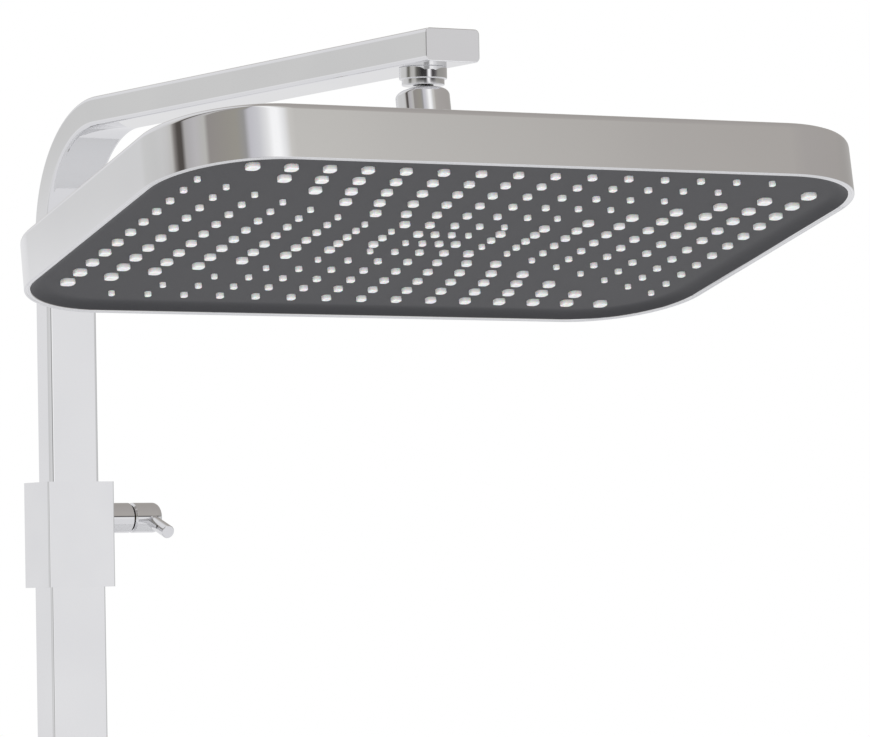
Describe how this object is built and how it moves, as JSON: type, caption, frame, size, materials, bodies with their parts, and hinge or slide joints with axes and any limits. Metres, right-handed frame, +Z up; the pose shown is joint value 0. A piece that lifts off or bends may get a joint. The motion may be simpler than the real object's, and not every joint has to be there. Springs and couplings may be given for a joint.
{
  "type": "rainfall shower column",
  "caption": "Wall-mounted telescopic shower column with a bent rectangular arm and a large tilting rectangular rain head.",
  "frame": {"origin": "on the wall, at the middle of the upper wall bracket", "axes": "+Z up along the column, -Y out of the wall into the room, +X to the right seen from the room"},
  "size_m": [0.3385, 0.534, 0.9199],
  "materials": {
    "polished_chrome": "mirror-polished chrome plate",
    "brass": "machined",
    "stainless_steel": "plain",
    "cast_zinc": "as cast",
    "acetal": "moulded",
    "black_rubber": "moulded",
    "white_abs": "moulded",
    "grey_abs": "moulded satin",
    "white_silicone": "moulded silicone"
  },
  "bodies": {
    "column": {"rail_tube": "polished_chrome", "upper_bracket_sleeve": "polished_chrome", "lower_bracket_sleeve": "polished_chrome", "upper_wall_base": "cast_zinc", "lower_wall_base": "cast_zinc", "bracket_grub_screws": "stainless_steel", "bottom_plug": "polished_chrome", "inlet_nipple": "polished_chrome", "stand_pipe": "brass", "clamp_box": "polished_chrome", "box_set_screws": "stainless_steel", "guide_bush": "acetal", "lever_boss": "polished_chrome"},
    "clamp_shoe": {"clamp_shoe": "acetal"},
    "lever": {"clamp_screw": "brass", "lever_knob": "polished_chrome", "lever_pin": "polished_chrome"},
    "riser": {"riser_tube": "polished_chrome", "arm_end_cap": "polished_chrome", "elbow_block": "brass", "water_pipe": "brass", "riser_guide": "acetal", "pipe_gland": "brass", "gland_o_rings": "black_rubber", "ball_stud": "polished_chrome", "stud_seal": "black_rubber"},
    "tilt_seat": {"tilt_seat": "acetal"},
    "lean_seat": {"lean_seat": "acetal"},
    "head": {"socket_nut": "polished_chrome", "socket_base": "polished_chrome", "ball_seal": "black_rubber", "inlet_washer": "black_rubber", "head_inlet": "brass", "inlet_filter": "stainless_steel", "flow_restrictor": "acetal", "head_lock_nut": "brass", "hub_cover": "polished_chrome", "head_casing": "polished_chrome", "rim_trim": "polished_chrome", "spray_plate": "grey_abs", "silicone_mat": "white_silicone", "chamber_cover": "white_abs", "plate_screws": "stainless_steel"}
  },
  "joints": [
    {"name": "height_slide", "type": "slide", "parent": "column", "child": "riser", "axis": [0, 0, 1], "range_m": [-0.1, 0.3]},
    {"name": "shoe_press", "type": "slide", "parent": "column", "child": "clamp_shoe", "axis": [1, 0, 0], "range_m": [0, 0.000375]},
    {"name": "lever_turn", "type": "hinge", "parent": "clamp_shoe", "child": "lever", "pos_m": [0.0433, -0.0472, 0.1779], "axis": [1, 0, 0], "range_deg": [0, 90]},
    {"name": "head_tilt", "type": "hinge", "parent": "riser", "child": "tilt_seat", "pos_m": [0, -0.396, 0.3491], "axis": [1, 0, 0], "range_deg": [-2.8, 27.2]},
    {"name": "head_lean", "type": "hinge", "parent": "tilt_seat", "child": "lean_seat", "pos_m": [0, -0.396, 0.3491], "axis": [0, 0.9774, -0.2113], "range_deg": [-7.9, 4.1]},
    {"name": "head_turn", "type": "hinge", "parent": "lean_seat", "child": "head", "pos_m": [0, -0.396, 0.3491], "axis": [0.0332, 0.2112, 0.9769], "continuous": true}
  ],
  "couplings": [
    {"joint": "lever_turn", "follows": "shoe_press", "rad_per_m": 4188.8}
  ]
}
